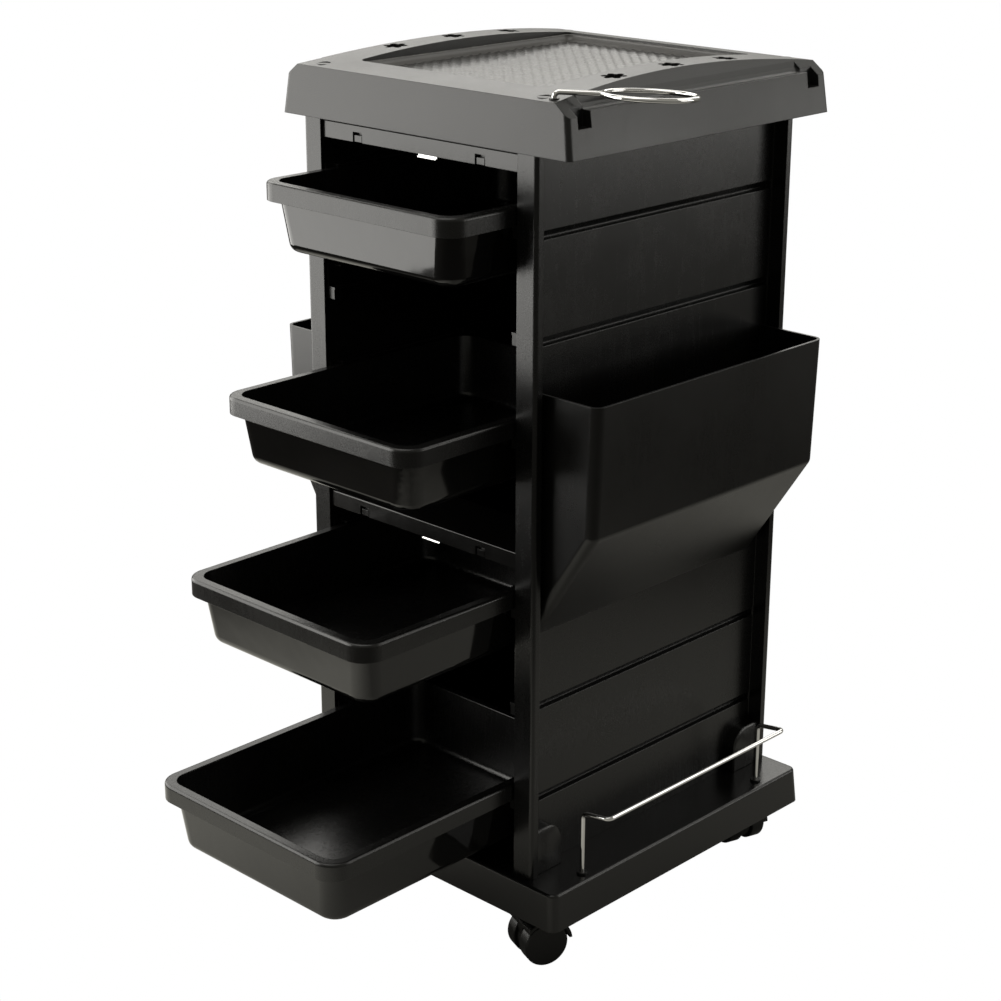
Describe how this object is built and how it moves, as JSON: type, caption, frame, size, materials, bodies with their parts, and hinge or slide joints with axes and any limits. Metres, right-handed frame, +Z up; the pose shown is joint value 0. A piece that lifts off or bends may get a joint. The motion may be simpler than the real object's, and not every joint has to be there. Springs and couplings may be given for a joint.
{
  "type": "spa trolley cart",
  "caption": "Black plastic salon trolley on swivel casters with pull-out trays, slatted side panels, hanging side pockets, wire bottle rails, a lipped top tray and a chrome ring holder.",
  "frame": {"origin": "middle of the overall footprint on the floor, with the drawers as stored and the ring holder out to the right", "axes": "+Z up, -Y is the drawer side, +X is the side with the ring holder"},
  "size_m": [0.4704, 0.6168, 0.8548],
  "materials": {
    "cabinet_plastic": "fine satin grain, black",
    "drawer_plastic": "glossy black",
    "inner_plastic": "smooth black",
    "wire_chrome": "polished",
    "screw_steel": "zinc plated",
    "mat": "black, ribbed on the diagonal",
    "caster_plastic": "black",
    "wheel_tread": "black"
  },
  "bodies": {
    "cabinet": {"base_tray": "cabinet_plastic", "side_panel_left": "cabinet_plastic", "side_panel_right": "cabinet_plastic", "back_panel": "inner_plastic", "back_panel_screws": "screw_steel", "cross_beam_top": "cabinet_plastic", "cross_beam_middle": "cabinet_plastic", "rear_rail": "inner_plastic", "frame_screws": "screw_steel", "beam_clips": "screw_steel", "base_screws": "screw_steel", "top_tray": "cabinet_plastic", "top_mat": "mat", "deck_plugs": "inner_plastic", "tray_screws": "screw_steel", "side_pocket_left": "cabinet_plastic", "side_pocket_right": "cabinet_plastic", "pocket_screws": "screw_steel", "bottle_rail_left": "wire_chrome", "bottle_rail_right": "wire_chrome", "rail_ferrules": "wire_chrome", "ring_socket": "inner_plastic", "runner_left_1": "inner_plastic", "runner_right_1": "inner_plastic", "runner_left_2": "inner_plastic", "runner_right_2": "inner_plastic", "runner_left_3": "inner_plastic", "runner_right_3": "inner_plastic", "runner_left_4": "inner_plastic", "runner_right_4": "inner_plastic", "runner_left_5": "inner_plastic", "runner_right_5": "inner_plastic", "runner_left_6": "inner_plastic", "runner_right_6": "inner_plastic", "caster_stem_front_left": "screw_steel", "caster_stem_front_right": "screw_steel", "caster_stem_rear_left": "screw_steel", "caster_stem_rear_right": "screw_steel"},
    "ring": {"ring_holder": "wire_chrome"},
    "drawer_1": {"drawer_1": "drawer_plastic"},
    "drawer_2": {"drawer_2": "drawer_plastic"},
    "drawer_3": {"drawer_3": "drawer_plastic"},
    "drawer_4": {"drawer_4": "drawer_plastic"},
    "swivel_front_left": {"caster_hood_front_left": "caster_plastic", "caster_axle_front_left": "screw_steel"},
    "wheel_a_front_left": {"caster_wheel_a_front_left": "wheel_tread"},
    "wheel_b_front_left": {"caster_wheel_b_front_left": "wheel_tread"},
    "swivel_front_right": {"caster_hood_front_right": "caster_plastic", "caster_axle_front_right": "screw_steel"},
    "wheel_a_front_right": {"caster_wheel_a_front_right": "wheel_tread"},
    "wheel_b_front_right": {"caster_wheel_b_front_right": "wheel_tread"},
    "swivel_rear_left": {"caster_hood_rear_left": "caster_plastic", "caster_axle_rear_left": "screw_steel"},
    "wheel_a_rear_left": {"caster_wheel_a_rear_left": "wheel_tread"},
    "wheel_b_rear_left": {"caster_wheel_b_rear_left": "wheel_tread"},
    "swivel_rear_right": {"caster_hood_rear_right": "caster_plastic", "caster_axle_rear_right": "screw_steel"},
    "wheel_a_rear_right": {"caster_wheel_a_rear_right": "wheel_tread"},
    "wheel_b_rear_right": {"caster_wheel_b_rear_right": "wheel_tread"}
  },
  "joints": [
    {"name": "drawer_1_slide", "type": "slide", "parent": "cabinet", "child": "drawer_1", "axis": [0, -1, 0], "range_m": [-0.079, 0.166]},
    {"name": "drawer_2_slide", "type": "slide", "parent": "cabinet", "child": "drawer_2", "axis": [0, -1, 0], "range_m": [-0.133, 0.112]},
    {"name": "drawer_3_slide", "type": "slide", "parent": "cabinet", "child": "drawer_3", "axis": [0, -1, 0], "range_m": [-0.1875, 0.0575]},
    {"name": "drawer_4_slide", "type": "slide", "parent": "cabinet", "child": "drawer_4", "axis": [0, -1, 0], "range_m": [-0.2315, 0.0235]},
    {"name": "ring_swivel", "type": "hinge", "parent": "cabinet", "child": "ring", "pos_m": [0.133, -0.062, 0.8505], "axis": [0, 0, 1], "range_deg": [-134, 2]},
    {"name": "swivel_front_left", "type": "hinge", "parent": "cabinet", "child": "swivel_front_left", "pos_m": [-0.17, -0.043, 0.05], "axis": [0, 0, 1], "continuous": true},
    {"name": "roll_a_front_left", "type": "hinge", "parent": "swivel_front_left", "child": "wheel_a_front_left", "pos_m": [-0.17525, -0.05917, 0.023], "axis": [0.9511, -0.309, 0], "continuous": true},
    {"name": "roll_b_front_left", "type": "hinge", "parent": "swivel_front_left", "child": "wheel_b_front_left", "pos_m": [-0.17525, -0.05917, 0.023], "axis": [0.9511, -0.309, 0], "continuous": true},
    {"name": "swivel_front_right", "type": "hinge", "parent": "cabinet", "child": "swivel_front_right", "pos_m": [0.126, -0.043, 0.05], "axis": [0, 0, 1], "continuous": true},
    {"name": "roll_a_front_right", "type": "hinge", "parent": "swivel_front_right", "child": "wheel_a_front_right", "pos_m": [0.11991, -0.05887, 0.023], "axis": [0.9336, -0.3584, 0], "continuous": true},
    {"name": "roll_b_front_right", "type": "hinge", "parent": "swivel_front_right", "child": "wheel_b_front_right", "pos_m": [0.11991, -0.05887, 0.023], "axis": [0.9336, -0.3584, 0], "continuous": true},
    {"name": "swivel_rear_left", "type": "hinge", "parent": "cabinet", "child": "swivel_rear_left", "pos_m": [-0.17, 0.265, 0.05], "axis": [0, 0, 1], "continuous": true},
    {"name": "roll_a_rear_left", "type": "hinge", "parent": "swivel_rear_left", "child": "wheel_a_rear_left", "pos_m": [-0.16419, 0.28097, 0.023], "axis": [-0.9397, 0.342, 0], "continuous": true},
    {"name": "roll_b_rear_left", "type": "hinge", "parent": "swivel_rear_left", "child": "wheel_b_rear_left", "pos_m": [-0.16419, 0.28097, 0.023], "axis": [-0.9397, 0.342, 0], "continuous": true},
    {"name": "swivel_rear_right", "type": "hinge", "parent": "cabinet", "child": "swivel_rear_right", "pos_m": [0.126, 0.265, 0.05], "axis": [0, 0, 1], "continuous": true},
    {"name": "roll_a_rear_right", "type": "hinge", "parent": "swivel_rear_right", "child": "wheel_a_rear_right", "pos_m": [0.10974, 0.26997, 0.023], "axis": [-0.2924, -0.9563, 0], "continuous": true},
    {"name": "roll_b_rear_right", "type": "hinge", "parent": "swivel_rear_right", "child": "wheel_b_rear_right", "pos_m": [0.10974, 0.26997, 0.023], "axis": [-0.2924, -0.9563, 0], "continuous": true}
  ]
}
